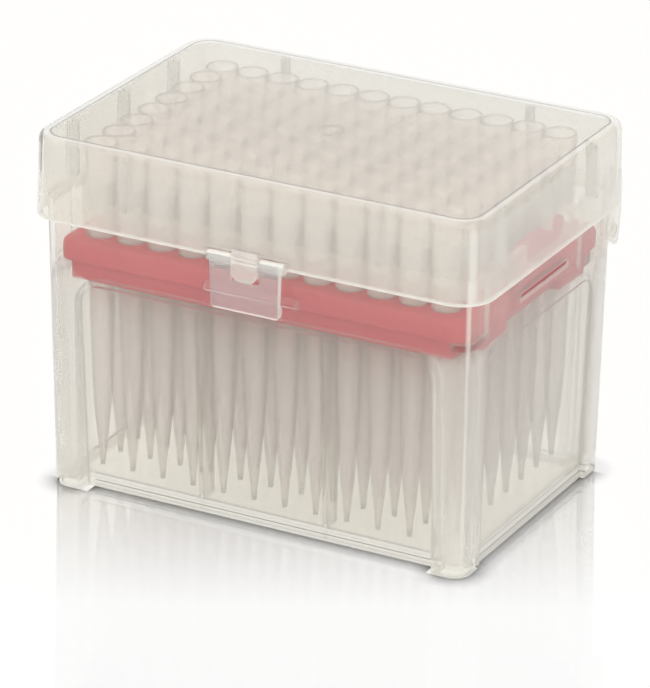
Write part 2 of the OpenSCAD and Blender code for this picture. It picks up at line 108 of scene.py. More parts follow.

# Heights on the tips where their cloudiness, painted rim shade and painted light change, and how far each
# change goes on: the lip, the crown that stands clear of the rack, the stretch above the rack that is
# painted lighter, the stretch just below it that takes painted red light from the rack, and the cone
LIP_Z, LIP_SOFT = 0.0938, 0.00033
CROWN_Z, CROWN_SOFT = 0.083, 0.00714
RACKED_Z, RACK_RED_LIGHT_Z, CONE_Z, TIP_SOFT = 0.062, 0.045, 0.030, 0.0125
# The back row and the left column, whose lips and crowns are cloudier and get a stronger painted shade
# outline
ALONE_Y, ALONE_X, ALONE_SOFT = 0.0265, -0.0445, 0.001

# The clear plastics' painted edge light: the radius that edges are rounded to and how fast they take their
# painted highlight or painted shade, the reach of a groove and how fast it takes painted shade, and how
# late the painted grey shade of grazing views comes in
EDGE_ROUND, EDGE_GAIN = 0.00045, 5.0
GROOVE_REACH, GROOVE_GAIN = 0.0007, 2.4
GRAZING_POWER = 5.0

# The clear plastics' cloudiness flows up the walls: its scale, detail and stretch, then the grain's
FLOW_SCALE, FLOW_DETAIL, FLOW_STRETCH = 38.0, 3.0, (1.0, 1.0, 0.45)
GRAIN_SCALE, GRAIN_STRENGTH = 2600.0, 0.35

# Indices of refraction of the clear plastics, the rack and tips, the filters and the thick posts,
# and the posts' roughness
PLASTIC_IOR, DENSE_IOR, POROUS_IOR, THICK_IOR = 1.46, 1.48, 1.5, 1.3
THICK_ROUGHNESS = 0.08

# Shares of light from behind in each plastic, and of soft light that passes straight through
CLEAR_LIT, RACK_LIT, TIP_LIT, FILTER_LIT = 0.35, 0.15, 0.4, 0.4
CLEAR_PASS, TIP_PASS = 0.7, 0.75
MOST_MILK = 0.97

# What is added to a tip's own direction, and how much of that stays, to light all the tips alike
EVEN_WAY, OWN_WAY = (0.25, -0.85, 0.9), (0.45, 0.45, 0.45)

# Colours that the clear plastics share, all painted light and shade: a painted edge highlight, painted
# groove shade, the marks' painted highlight and painted shade, and a painted grey shade at grazing views;
# last, the painted red light from the rack on the tips
PAINTED_EDGE_HIGHLIGHT = (0.97, 0.965, 0.935)
PAINTED_GROOVE_SHADE = (0.36, 0.35, 0.345)
PAINTED_MARK_HIGHLIGHT = (0.96, 0.95, 0.89)
PAINTED_MARK_SHADE = (0.34, 0.33, 0.325)
PAINTED_GRAZING_SHADE = (0.40, 0.39, 0.40)
PAINTED_RACK_RED_LIGHT = (0.80, 0.50, 0.45)

# The floor: the box's footprint and its round feet, and the way to the near corner
PRINT_X, PRINT_Y = 0.0585, 0.0362
FOOT_X, FOOT_Y, FOOT_R = 0.0549, 0.0353, 0.0048
FOOT_IN_X, FOOT_IN_Y = 0.0494, 0.0310
NEAR_X, NEAR_Y, NEAR_START = 0.46, -0.88, 0.028
FLOOR_HALF = 3.0

LAMP_SIZE = (1.2, 0.9)
LAMP_AIM = (0.0, 0.0, 0.05)
OVERHEAD_PLACE = (-0.35, -0.25, 1.1)
FRONT_PLACE = (0.75, -1.0, 0.55)


# ---------------------------------------------------------------- sizes and colours


def length_of(name, description, default):
    """A length that a user may change."""
    return FloatProperty(name=name, description=description, default=default, unit="LENGTH")


def angle_of(name, description, degrees):
    """An angle that a user may change."""
    return FloatProperty(name=name, description=description, default=math.radians(degrees), subtype="ANGLE")


def colour_of(name, description, default):
    """A colour that a user may change."""
    return FloatVectorProperty(name=name, description=description, default=default, subtype="COLOR")


class TipSizes(bpy.types.PropertyGroup):
    """Sizes of one tip above and below the rack's deck, and of the grid."""

    pitch: length_of("Pitch", "Distance between neighbouring tips", 0.009)
    rim_z: length_of("Rim height", "Height of the tips' rims", 0.0945)
    deck_z: length_of("Deck height", "Height of the rack's deck", 0.0693)
    outlet_z: length_of("Outlet height", "Height of the tips' outlets", 0.0046)
    collar_r: length_of("Collar radius", "Radius of the collar at the rim", 0.00435)
    neck_r: length_of("Neck radius", "Radius over the ribs below the collar", 0.0041)
    shoulder_r: length_of("Shoulder radius", "Radius of the shoulder on the deck", 0.0039)
    body_r: length_of("Body radius", "Radius where a tip enters the rack", 0.00352)
    outlet_r: length_of("Outlet radius", "Outer radius of the outlet", 0.0006)
    wall: length_of("Wall", "Wall thickness of a tip", 0.00045)
    ribs: IntProperty(name="Ribs", description="Upright ribs around the neck", default=12, min=4)
    rib_depth: length_of("Rib depth", "How far the ribs stand out", 0.00022)
    seed: IntProperty(name="Seed", description="Seed of each tip's turn in its hole", default=11)


class PlasticColours(bpy.types.PropertyGroup):
    """Colours of the mouldings."""

    lid: colour_of("Lid", "Colour of the lid's plastic", (0.80, 0.785, 0.74))
    base: colour_of("Base", "Colour of the base's plastic", (0.72, 0.69, 0.62))
    clip: colour_of("Clip", "Colour of the clip's plastic", (0.58, 0.60, 0.59))
    rack: colour_of("Rack", "Colour of the rack's plastic", (0.56, 0.075, 0.095))
    tips: colour_of("Tips", "Colour of the tips' plastic", (0.80, 0.74, 0.70))
    filters: colour_of("Filters", "Colour of the filter plugs", (0.66, 0.65, 0.62))


class StageSettings(bpy.types.PropertyGroup):
    """Camera and studio."""

    azimuth: angle_of("Azimuth", "Camera's turn from the clip side", 27.804865)
    elevation: angle_of("Elevation", "Camera's height above the horizon", 23.176619)
    roll: angle_of("Roll", "Camera's roll", 0.73457)
    distance: length_of("Distance", "Camera's distance from its aim", 1.27807)
    aim: FloatVectorProperty(
        name="Aim",
        description="Point that the camera looks at",
        default=(0.00128, -0.004545, 0.039215),
        subtype="XYZ",
    )
    lens: FloatProperty(name="Lens", description="Focal length", default=258.564)
    sky: FloatProperty(name="Sky", description="Level of the studio's even light", default=1.0)
    key: FloatProperty(name="Key light", description="Power of the large soft lamp overhead", default=4.0)
    fill: FloatProperty(name="Fill light", description="Power of the large soft lamp in front", default=4.0)


# ---------------------------------------------------------------- shader tools


# What a plastic's marks give at a point: shares of painted highlight, painted shade, hazy and thick plastic
Marks = namedtuple("Marks", "bright dark haze thick", defaults=(0.0, 0.0, 0.0, None))

# A tone is a plain colour, or a Blend of two tones with the share of the second
Blend = namedtuple("Blend", "share first second")


class Field:
    """A value of a material's nodes. Arithmetic on it adds Math nodes."""

    def __init__(self, mat, socket):
        self.mat = mat
        self.socket = socket

    def math(self, operation, a, b=0.0):
        return self.mat.node("ShaderNodeMath", {"operation": operation}, {0: a, 1: b})

    def __add__(self, other):
        return self.math("ADD", self, other)

    def __radd__(self, other):
        return self.math("ADD", other, self)

    def __sub__(self, other):
        return self.math("SUBTRACT", self, other)

    def __rsub__(self, other):
        return self.math("SUBTRACT", other, self)

    def __mul__(self, other):
        return self.math("MULTIPLY", self, other)

    def __rmul__(self, other):
        return self.math("MULTIPLY", other, self)

    def __truediv__(self, other):
        return self.math("DIVIDE", self, other)

    def __rtruediv__(self, other):
        return self.math("DIVIDE", other, self)

    def __pow__(self, other):
        return self.math("POWER", self, other)

    def at_least(self, other):
        return self.math("MAXIMUM", self, other)

    def at_most(self, other):
        return self.math("MINIMUM", self, other)

    def size(self):
        """The value without its sign."""
        return self.math("ABSOLUTE", self)

    def held(self):
        """The value held between 0 and 1."""
        return self.at_least(0.0).at_most(1.0)

    def within(self, reach, soft=0.0002):
        """1 where the value's size is under reach, fading out over soft."""
        return ((reach - self.size()) / soft + 0.5).held()

    def beyond(self, reach, soft=0.0002):
        """1 where the value's size is over reach, fading in over soft."""
        return 1.0 - self.within(reach, soft)

    def rising(self, start, over=0.0002):
        """0 up to start, then up to 1 over the next stretch."""
        return ((self - start) / over).held()

    def falling(self, end, over=0.0002):
        """0 from end on, and up to 1 over the stretch before it."""
        return ((end - self) / over).held()


class Recipe:
    """A material or world and its nodes."""

    def __init__(self, owner):
        self.owner = owner
        owner.use_nodes = True
        self.tree = owner.node_tree
        self.tree.nodes.clear()

    def node(self, kind, settings=None, sockets=None, out=0):
        """Adds a node: its settings first, then its sockets' values or links.
        Gives the output named by out, or a list of them for a tuple."""
        made = self.tree.nodes.new(kind)
        for key, value in (settings or {}).items():
            setattr(made, key, value)
        for key, value in (sockets or {}).items():
            socket = made.inputs[key]
            if isinstance(value, Field):
                self.tree.links.new(value.socket, socket)
            elif socket.type == "RGBA":
                socket.default_value = (*value, 1.0)
            else:
                socket.default_value = value
        if isinstance(out, tuple):
            return [Field(self, made.outputs[one]) for one in out]
        return Field(self, made.outputs[out]) if len(made.outputs) else made

    def place(self, scale=(1, 1, 1)):
        """The object's own coordinates as a vector."""
        spot = self.node("ShaderNodeTexCoord", out="Object")
        return self.node("ShaderNodeMapping", None, {"Vector": spot, "Scale": scale})

    def axes(self, kind="Object"):
        """The object's own coordinates as three values."""
        spot = self.node("ShaderNodeTexCoord", out=kind)
        return self.node("ShaderNodeSeparateXYZ", None, {"Vector": spot}, out=("X", "Y", "Z"))

    def slopes(self):
        """The surface's direction as three values."""
        return self.axes("Normal")

    def outer(self):
        """1 where a surface is seen from its outside."""
        return 1.0 - self.node("ShaderNodeNewGeometry", out="Backfacing")

    def seen(self):
        """1 for a ray that shows this to the camera, straight or by gloss or glass."""
        names = ("Is Camera Ray", "Is Glossy Ray", "Is Transmission Ray")
        camera, glossy, through = self.node("ShaderNodeLightPath", out=names)
        return (camera + glossy + through).at_most(1.0)

    def lighting(self, soft_share):
        """1 for a ray from a lamp, and soft_share for one of soft light."""
        lamp, soft = self.node("ShaderNodeLightPath", out=("Is Shadow Ray", "Is Diffuse Ray"))
        return lamp.at_least(soft * soft_share)

    def noise(self, scale, detail=2.0, spot=None):
        spot = spot or self.place()
        return self.node("ShaderNodeTexNoise", None, {"Vector": spot, "Scale": scale, "Detail": detail})

    def colour(self, tone):
        """A tone's colour."""
        if not isinstance(tone, Blend):
            return tone
        sides = {0: tone.share, 6: self.colour(tone.first), 7: self.colour(tone.second)}
        return self.node("ShaderNodeMix", {"data_type": "RGBA"}, sides, out=2)

    def mix(self, share, first, second):
        """A mix of two shaders."""
        return self.node("ShaderNodeMixShader", None, {0: share, 1: first, 2: second})

    def lit_through(self, tone, normal):
        """Light from behind, in a tone's colours."""
        if not isinstance(tone, Blend):
            return self.node("ShaderNodeBsdfTranslucent", None, {"Color": tone, "Normal": normal})
        return self.mix(
            tone.share, self.lit_through(tone.first, normal), self.lit_through(tone.second, normal)
        )

    def open_way(self, colour):
        """Lets rays pass straight on."""
        return self.node("ShaderNodeBsdfTransparent", None, {"Color": colour})

    def plastic(self, colour, roughness, bend, normal, clear=0.0):
        """One body of plastic; clear is the share of light that goes through it."""
        return self.node(
            "ShaderNodeBsdfPrincipled",
            None,
            {
                "Base Color": colour,
                "Roughness": roughness,
                "IOR": bend,
                "Transmission Weight": clear,
                "Normal": normal,
            },
        )

    def rounded(self, radius):
        """The surface's direction with its edges rounded off."""
        return self.node("ShaderNodeBevel", {"samples": 2}, {"Radius": radius})

    def grained(self, height, strength, depth, normal=None):
        """The surface's direction with a fine relief."""
        sockets = {"Strength": strength, "Distance": depth, "Height": height}
        if normal is not None:
            sockets["Normal"] = normal
        return self.node("ShaderNodeBump", None, sockets)

    def finish(self, surface):
        self.node("ShaderNodeOutputMaterial", None, {"Surface": surface})
        return self.owner


def scaled(colour, by):
    """A colour made lighter or darker, held under white."""
    return tuple(min(1.0, part * by) for part in colour)


# ---------------------------------------------------------------- plastics


def moulded_clear(name, colour, tint, milk, edge_milk, roughness, bend, gloss, grain, marks):
    """Clear to milky moulded plastic. tint is what each face lets through,
    milk the share of it that is cloudy, edge_milk what is added along edges,
    bend how strongly its walls bend what is seen through them, gloss the
    share of a full plastic sheen on top and grain the depth of its relief.
    marks gives the shares of painted highlight, painted shade and hazy plastic and of thick, strongly
    bending plastic at a point. Edges take a painted highlight from outside and painted shade in grooves and
    from inside, and grazing views take a painted grey shade."""
    mat = Recipe(bpy.data.materials.new(name))
    painted_highlight, painted_shade, haze, thick = marks(mat)
    flow = mat.noise(FLOW_SCALE, FLOW_DETAIL, mat.place(scale=FLOW_STRETCH))
    rounded = mat.rounded(EDGE_ROUND)
    facing = {0: rounded, 1: mat.node("ShaderNodeNewGeometry", out="Normal")}
    turn = mat.node("ShaderNodeVectorMath", {"operation": "DOT_PRODUCT"}, facing, out="Value")
    edge = ((1.0 - turn) * EDGE_GAIN).held()
    outer = mat.outer()
    own_only = {"samples": 2, "only_local": True}
    inlet = mat.node("ShaderNodeAmbientOcclusion", own_only, {"Distance": GROOVE_REACH}, out="AO")
    groove = ((1.0 - inlet) * GROOVE_GAIN).at_most(1.0)
    relief = mat.grained(mat.noise(GRAIN_SCALE), GRAIN_STRENGTH, grain, rounded) if grain else rounded
    rough = roughness + (flow - 0.5) * (0.5 * roughness) if roughness else 0.0
    body_tone = Blend(flow, scaled(colour, 0.97), scaled(colour, 1.03))
    # Edges seen from outside take a painted highlight; grooves and edges seen from inside take painted
    # shade
    edge_highlight_and_shade = Blend(outer * (1.0 - groove), PAINTED_GROOVE_SHADE, PAINTED_EDGE_HIGHLIGHT)
    painted_edge_tone = Blend(edge.at_least(groove) * 0.9, body_tone, edge_highlight_and_shade)
    # The marks add their painted highlight and painted shade
    tone = Blend(painted_shade, Blend(painted_highlight, painted_edge_tone, PAINTED_MARK_HIGHLIGHT), PAINTED_MARK_SHADE)
    # Painted grey shade in what grazing views let through
    graze = mat.node("ShaderNodeLayerWeight", None, {"Blend": 0.5, "Normal": rounded}, out="Facing")
    passed = mat.colour(Blend(graze**GRAZING_POWER, tuple(part * part for part in tint), PAINTED_GRAZING_SHADE))
    clear = mat.plastic(passed, rough, bend, relief, clear=1.0)
    if thick is not None:
        lens = mat.plastic(passed, THICK_ROUGHNESS, THICK_IOR, relief, clear=1.0)
        clear = mat.mix(thick, clear, lens)
    cloudy = mat.plastic(mat.colour(tone), rough, PLASTIC_IOR, relief)
    body = mat.mix(CLEAR_LIT, cloudy, mat.lit_through(tone, relief))
    share = milk + (flow - 0.5) * (0.25 * milk) + edge.at_least(groove * 0.7) * edge_milk
    share = (share + haze + painted_highlight * 0.5 + painted_shade * 0.45).at_most(MOST_MILK)
    shine = mat.node("ShaderNodeFresnel", None, {"IOR": PLASTIC_IOR, "Normal": relief}) * outer * gloss
    mirrored = {"Color": (1, 1, 1), "Roughness": rough, "Normal": relief}
    mirror = mat.node("ShaderNodeBsdfGlossy", None, mirrored)
    surface = mat.mix(shine, mat.mix(share, clear, body), mirror)
    open_way = mat.open_way(tuple(0.5 + 0.5 * part for part in tint))
    return mat.finish(mat.mix(mat.lighting(CLEAR_PASS), surface, open_way))


def base_marks(mat):
    """Painted highlights along the base's panel feet, on its posts' shafts, upright corners and soles, and
    along its end slots; painted shade lines at the heights of the floor plate's edges behind the panels and
    on the inner ribs. The posts' shafts and the end panels are hazier, and the shafts thick.
    """
    x, y, z = mat.axes()
    slope_x, slope_y, _ = mat.slopes()
    outer = mat.outer()
    side_panel = x.within(SIDE_PANEL_X, 0.0004) * y.beyond(SIDE_WALL_Y, 0.0004)
    end_panel = y.within(END_PANEL_Y, 0.0004) * x.beyond(END_WALL_X, 0.0004)
    panel = side_panel.at_least(end_panel) * outer
    (top_z, top_half), (foot_z, foot_half) = SEAM_ZS
    seams = (z - top_z).within(top_half, 0.0001).at_least((z - foot_z).within(foot_half, 0.0001))
    foot = z.within(PANEL_FOOT_Z) * panel
    rib = (x.size() - RIB_X).within(RIB_HALF) * z.within(RIB_TOP_Z, 0.002)
    rib = rib * y.within(RIB_OUT_Y, 0.0003) * y.beyond(RIB_IN_Y, 0.0003)
    post = x.beyond(POST_X, 0.0006) * y.beyond(POST_Y, 0.0006)
    shaft = post * z.beyond(POST_FOOT_Z, 0.001) * z.within(POST_TOP_Z, 0.004)
    corner = ((slope_x * slope_y).size() * 2.0).rising(0.93, 0.0714) * outer * post
    sole = post * z.within(POST_SOLE_Z, 0.0004)
    slot = (z - SLOT_Z).within(SLOT_HALF_Z) * y.within(SLOT_HALF_Y) * outer * x.beyond(SLOT_FACE_X)
    # Painted highlights: the panels' feet, the posts' upright corners, soles and shafts, and the end slots
    painted_highlight = (foot * 0.6).at_least(corner * 0.9).at_least(sole)
    painted_highlight = painted_highlight.at_least(shaft * outer * 0.38).at_least(slot * 0.5)
    # Painted shade: lines at the floor plate's edges behind the panels, and on the inner ribs
    painted_shade = (seams * panel).at_least(rib * 0.35)
    end_top = slope_x.beyond(0.7, 0.1) * z.beyond(SHOULDER_Z, 0.001) * outer
    haze = shaft * 0.08 + (end_panel * outer).at_least(end_top) * 0.17
    return Marks(painted_highlight, painted_shade, haze, shaft * 0.6)


def lid_marks(mat):
    """The lid's upright walls are cloudier than its top. Painted highlights run along the band around its
    flat top, its hem, its lug and its upright corners, and painted shade lies along a line inside the band
    and on its fins."""
    x, y, z = mat.axes()
    slope_x, slope_y, _ = mat.slopes()
    outer = mat.outer()
    past_x = x.size() - LID_STRAIGHT_X
    past_y = y.size() - LID_STRAIGHT_Y
    past = (past_x.at_least(0.0) ** 2.0 + past_y.at_least(0.0) ** 2.0) ** 0.5
    inset = past + past_x.at_least(past_y).at_most(0.0) - LID_CORNER_R
    top = z.rising(LID_TOP_Z)
    walls = 1.0 - top
    band = inset.rising(-BAND_INSET) * top * outer
    band = band * (1.0 - inset.rising(-ROUNDED_INSET) * 0.7)
    line = (inset + LINE_INSET).within(LINE_HALF, 0.0001) * top * outer
    hem = (z - LID_HEM_Z).within(LINE_HALF, 0.0001)
    halfway = (y.size() - 0.5 * END_FIN_Y).size() - 0.5 * END_FIN_Y
    end_fins = halfway.within(FIN_HALF, 0.0001) * x.beyond(END_FIN_XS[0]) * x.within(END_FIN_XS[1])
    side_fins = (x.size() - SIDE_FIN_X).within(FIN_HALF, 0.0001)
    side_fins = side_fins * y.beyond(SIDE_FIN_YS[0]) * y.within(SIDE_FIN_YS[1])
    fins = end_fins.at_least(side_fins) * walls
    lug = x.within(LUG_HALF_X) * (y - LUG_Y).within(LUG_HALF_Y) * z.within(LUG_TOP_Z, 0.0004) * outer
    corner = ((slope_x * slope_y).size() * 2.0).rising(0.94, 0.0625) * outer
    # Painted highlights: the band, the hem, the lug and the upright corners
    painted_highlight = (band * 0.95).at_least(hem).at_least(lug * 0.4).at_least(corner * 0.6)
    # Painted shade: the line inside the band, and the fins
    painted_shade = (line * 1.5).at_least(fins * 0.45)
    haze = walls * outer * 0.25 + slope_x.beyond(0.6, 0.1) * outer * walls * 0.15
    return Marks(painted_highlight, painted_shade, haze)


def clip_marks(mat):
    """Painted highlights on the clip's round knuckles, brighter where they face up and forward, on its cut
    edges and sides, and along its lip.
    """
    x, _, z = mat.axes()
    slope_x, slope_y, slope_z = mat.slopes()
    outer = mat.outer()
    rims = slope_x.size().rising(0.6, 0.125).at_least(x.rising(CLIP_CUT_X, 0.0003) * 0.8)
    lip = (z - CLIP_LIP_Z).within(CLIP_LIP_HALF, 0.0003)
    glint = (slope_z * 0.9 - slope_y * 0.45).rising(0.86, 0.0625)
    knuckle = z.rising(KNUCKLE_Z, 0.00067) * (0.3 + glint * 0.9)
    # All of the clip's marks are painted highlights
    return Marks(rims.at_least(lip).at_least(knuckle) * outer)


def rack_plastic(name, colour):
    """Deep red moulded plastic that lets a little light through."""
    mat = Recipe(bpy.data.materials.new(name))
    flow = mat.noise(55.0, 3.0)
    relief = mat.grained(mat.noise(2400.0, 2.0), 0.3, 0.00002, mat.rounded(0.00035))
    tone = Blend(flow, scaled(colour, 0.88), scaled(colour, 1.1))
    solid = mat.plastic(mat.colour(tone), 0.32 + (flow - 0.5) * 0.12, DENSE_IOR, relief)
    return mat.finish(mat.mix(RACK_LIT, solid, mat.lit_through(tone, relief)))


def tip_plastic(name, colour):
    """Thin milky plastic of the tips. Their lips, crowns and cones get a painted shade outline, strongest
    at the lips and crowns of the back row and the left column. They are painted lighter above the rack than
    below it, and just below it they take painted red light from the rack."""
    mat = Recipe(bpy.data.materials.new(name))
    cloud = mat.noise(160.0, 2.0)
    rim = mat.node("ShaderNodeLayerWeight", None, {"Blend": 0.35}, out="Facing")
    x, y, z = mat.axes()
    alone = y.rising(ALONE_Y, ALONE_SOFT).at_least(x.falling(ALONE_X, ALONE_SOFT))
    lip = z.rising(LIP_Z, LIP_SOFT) * (alone * 0.7 + 0.3)
    crown = z.rising(CROWN_Z, CROWN_SOFT) * (alone * 0.85 + 0.15)
    above_rack = z.rising(RACKED_Z, TIP_SOFT)
    # Painted red light from the rack on the tips just below it
    painted_rack_red = z.rising(RACK_RED_LIGHT_Z, TIP_SOFT) * (1.0 - above_rack)
    cone = z.falling(CONE_Z, TIP_SOFT)
    share = 0.27 + cone * 0.06 + rim * rim * (0.07 + (crown * 0.38).at_least(cone * 0.3)) + lip * 0.15
    # Painted shade below the rack, and painted lighter above it
    painted_low_tone = Blend(painted_rack_red * 0.5, scaled(colour, 0.93), PAINTED_RACK_RED_LIGHT)
    painted_height_tone = Blend(above_rack, painted_low_tone, scaled(colour, 1.1))
    # Painted shade outline along the silhouettes of the lips, crowns and cones
    painted_rim_shade = (rim**3.0 * (0.15 + crown.at_least(cone * 0.5) * 0.85)).at_least(lip)
    tone = Blend(painted_rim_shade, painted_height_tone, scaled(colour, 0.66))
    own = mat.node("ShaderNodeNewGeometry", out="Normal")
    evened = {0: own, 1: OWN_WAY, 2: EVEN_WAY}
    lean = mat.node("ShaderNodeVectorMath", {"operation": "MULTIPLY_ADD"}, evened)
    way = mat.node("ShaderNodeVectorMath", {"operation": "NORMALIZE"}, {0: lean})
    milky = mat.plastic(mat.colour(tone), 0.25 + (cloud - 0.5) * 0.1, DENSE_IOR, way)
    body = mat.mix(TIP_LIT, milky, mat.lit_through(tone, way))
    surface = mat.mix(share, mat.open_way((0.997, 0.996, 0.994)), body)
    return mat.finish(mat.mix(mat.lighting(TIP_PASS), surface, mat.open_way((0.985, 0.985, 0.985))))


def filter_plastic(name, colour):
    """White porous sintered plug."""
    mat = Recipe(bpy.data.materials.new(name))
    pores = mat.node("ShaderNodeTexVoronoi", None, {"Vector": mat.place(), "Scale": 5200.0}, out="Distance")
    relief = mat.grained(pores, 0.6, 0.00004)
    tone = Blend(pores, scaled(colour, 0.86), tuple(colour))
    solid = mat.plastic(mat.colour(tone), 0.8, POROUS_IOR, relief)
    surface = mat.mix(FILTER_LIT, solid, mat.lit_through(tone, relief))
    lamp = mat.node("ShaderNodeLightPath", out="Is Shadow Ray")
    return mat.finish(mat.mix(lamp, surface, mat.open_way((0.85, 0.85, 0.85))))


# ---------------------------------------------------------------- mesh tools


def dress(obj, material):
    """Gives the whole mesh one material."""
    obj.data.materials.clear()
    obj.data.materials.append(material)
    for face in obj.data.polygons:
        face.material_index = 0


def moulded_copy(node, name, material):
    """A merged, smoothly shaded copy of a CAD node's mesh."""
    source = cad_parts[node]
    mesh = source.data.copy()
    mesh.name = name
    work = bmesh.new()
    work.from_mesh(mesh)
    work.transform(source.matrix_world)
    bmesh.ops.remove_doubles(work, verts=work.verts, dist=WELD)
    bmesh.ops.dissolve_limit(work, angle_limit=FLAT, verts=work.verts, edges=work.edges)
    bmesh.ops.triangulate(work, faces=[f for f in work.faces if len(f.verts) > 4])
    for face in work.faces:
        face.smooth = True
    for edge in work.edges:
        edge.smooth = len(edge.link_faces) == 2 and edge.calc_face_angle(0.0) < CREASE
    work.to_mesh(mesh)
    work.free()
    if "custom_normal" in mesh.attributes:
        mesh.attributes.remove(mesh.attributes["custom_normal"])
    obj = bpy.data.objects.new(name, mesh)
    bpy.context.scene.collection.objects.link(obj)
    dress(obj, material)
    return obj


def tip_rings(sizes):
    """Rings of one tip as (height, radius, rib share), outside down then
    inside up."""
    top, deck, low = sizes.rim_z, sizes.deck_z, sizes.outlet_z
    length = deck - low
    outside = [(top - down, sizes.collar_r + more, ribs) for down, more, ribs in COLLAR]
    outside += [(top - down, sizes.neck_r + more, ribs) for down, more, ribs in NECK]
    outside += [(deck + up, sizes.shoulder_r + more, ribs) for up, more, ribs in SHOULDER]
    outside.append((deck, sizes.body_r, 0.0))
    outside += [(deck - down * length, share * sizes.body_r, 0.0) for down, share in TAPER]
    outside.append((low, sizes.outlet_r, 0.0))
    wall = sizes.wall
    inside = [(low, 0.5 * sizes.outlet_r, 0.0)]
    inside += [(deck - down * length, share * sizes.body_r - wall, 0.0) for down, share in reversed(TAPER)]
    inside.append((deck, sizes.body_r - wall, 0.0))
    inside += [(top - down, sizes.collar_r - wall + more, 0.0) for down, more in MOUTH]
    inside.append((top, sizes.collar_r - 0.5 * wall, 0.0))
    return outside + inside


def tip_mesh(sizes):
    """One hollow ribbed tip on the Z axis."""
    work = bmesh.new()
    rings = []
    for height, radius, share in tip_rings(sizes):
        ring = []
        for step in range(AROUND):
            turn = 2.0 * math.pi * step / AROUND
            lobe = max(0.0, math.cos(sizes.ribs * turn)) ** 2
            reach = radius - share * sizes.rib_depth * (1.0 - lobe)
            ring.append(work.verts.new((reach * math.cos(turn), reach * math.sin(turn), height)))
        rings.append(ring)
    for upper, lower in zip(rings, rings[1:] + rings[:1]):
        for step in range(AROUND):
            after = (step + 1) % AROUND
            work.faces.new((upper[step], lower[step], lower[after], upper[after]))
    bmesh.ops.recalc_face_normals(work, faces=work.faces)
    for face in work.faces:
        face.smooth = True
    mesh = bpy.data.meshes.new("tip")
    work.to_mesh(mesh)
    work.free()
    return mesh


def column_tree():
    """Geometry nodes that set one moulding along a row of seats."""
    tree = bpy.data.node_groups.new("tip_column", "GeometryNodeTree")
    tree.is_modifier = True
    face = tree.interface
    face.new_socket("Geometry", in_out="INPUT", socket_type="NodeSocketGeometry")
    for label, kind in (
        ("Moulding", "NodeSocketObject"),
        ("Count", "NodeSocketInt"),
        ("First seat", "NodeSocketVector"),
        ("Pitch", "NodeSocketFloat"),
        ("Seed", "NodeSocketInt"),
        ("Material", "NodeSocketMaterial"),
    ):
        face.new_socket(label, in_out="INPUT", socket_type=kind)
    face.new_socket("Geometry", in_out="OUTPUT", socket_type="NodeSocketGeometry")
    given = tree.nodes.new("NodeGroupInput")
    step = tree.nodes.new("ShaderNodeCombineXYZ")
    line = tree.nodes.new("GeometryNodeMeshLine")
    moulding = tree.nodes.new("GeometryNodeObjectInfo")
    turn = tree.nodes.new("FunctionNodeRandomValue")
    turn.data_type = "FLOAT"
    spin = tree.nodes.new("ShaderNodeCombineXYZ")
    seat = tree.nodes.new("GeometryNodeInstanceOnPoints")
    real = tree.nodes.new("GeometryNodeRealizeInstances")
    paint = tree.nodes.new("GeometryNodeSetMaterial")
    result = tree.nodes.new("NodeGroupOutput")
    link = tree.links.new
    link(given.outputs["Pitch"], step.inputs["Y"])
    link(given.outputs["Count"], line.inputs["Count"])
    link(given.outputs["First seat"], line.inputs["Start Location"])
    link(step.outputs[0], line.inputs["Offset"])
    link(given.outputs["Moulding"], moulding.inputs["Object"])
    for socket in turn.inputs:
        if socket.name == "Max" and socket.type == "VALUE":
            socket.default_value = 2.0 * math.pi
    link(given.outputs["Seed"], turn.inputs["Seed"])
    value = next(s for s in turn.outputs if s.type == "VALUE" and s.enabled)
    link(value, spin.inputs["Z"])
    link(line.outputs["Mesh"], seat.inputs["Points"])
    link(moulding.outputs["Geometry"], seat.inputs["Instance"])
    link(spin.outputs[0], seat.inputs["Rotation"])
    link(seat.outputs["Instances"], real.inputs["Geometry"])
    link(real.outputs["Geometry"], paint.inputs["Geometry"])
    link(given.outputs["Material"], paint.inputs["Material"])
    link(paint.outputs["Geometry"], result.inputs["Geometry"])
    return tree


def grown(tree, name, values):
    """Runs a geometry tree with the named values and returns its plain mesh."""
    holder = bpy.data.objects.new("grower", bpy.data.meshes.new("grower"))
    bpy.context.scene.collection.objects.link(holder)
    growth = holder.modifiers.new("growth", "NODES")
    growth.node_group = tree
    for item in tree.interface.items_tree:
        if item.item_type == "SOCKET" and item.in_out == "INPUT" and item.name in values:
            growth[item.identifier] = values[item.name]
    holder.update_tag()
    bpy.context.view_layer.update()
    graph = bpy.context.evaluated_depsgraph_get()
    mesh = bpy.data.meshes.new_from_object(holder.evaluated_get(graph), depsgraph=graph)
    mesh.name = name
    holder.modifiers.remove(growth)
    bpy.data.objects.remove(holder)
    obj = bpy.data.objects.new(name, mesh)
    bpy.context.scene.collection.objects.link(obj)
    return obj


# ---------------------------------------------------------------- pieces


class TIPBOX_OT_base(bpy.types.Operator):
    """Makes the frosted base box"""

    bl_idname = "tipbox.base"
    bl_label = "Base Box"

    def execute(self, context):
        plastic = moulded_clear(
            "base_plastic",
            context.scene.tipbox_colours.base,
            tint=(0.986, 0.981, 0.965),
            milk=0.09,
            edge_milk=0.5,
            roughness=0.02,
            bend=1.06,
            gloss=0.8,
            grain=0.00002,
            marks=base_marks,
        )
        piece = moulded_copy("base_box", "base_moulding", plastic)
        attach(piece, "base")
        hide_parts("base_box")
        return {"FINISHED"}


class TIPBOX_OT_rack(bpy.types.Operator):
    """Makes the red rack and its two grips"""

    bl_idname = "tipbox.rack"
    bl_label = "Rack"

    def execute(self, context):
        plastic = rack_plastic("rack_plastic", context.scene.tipbox_colours.rack)
        for node in ("tip_rack", "rack_grips"):
            piece = moulded_copy(node, f"{node}_moulding", plastic)
            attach(piece, "base")
            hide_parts(node)
        return {"FINISHED"}


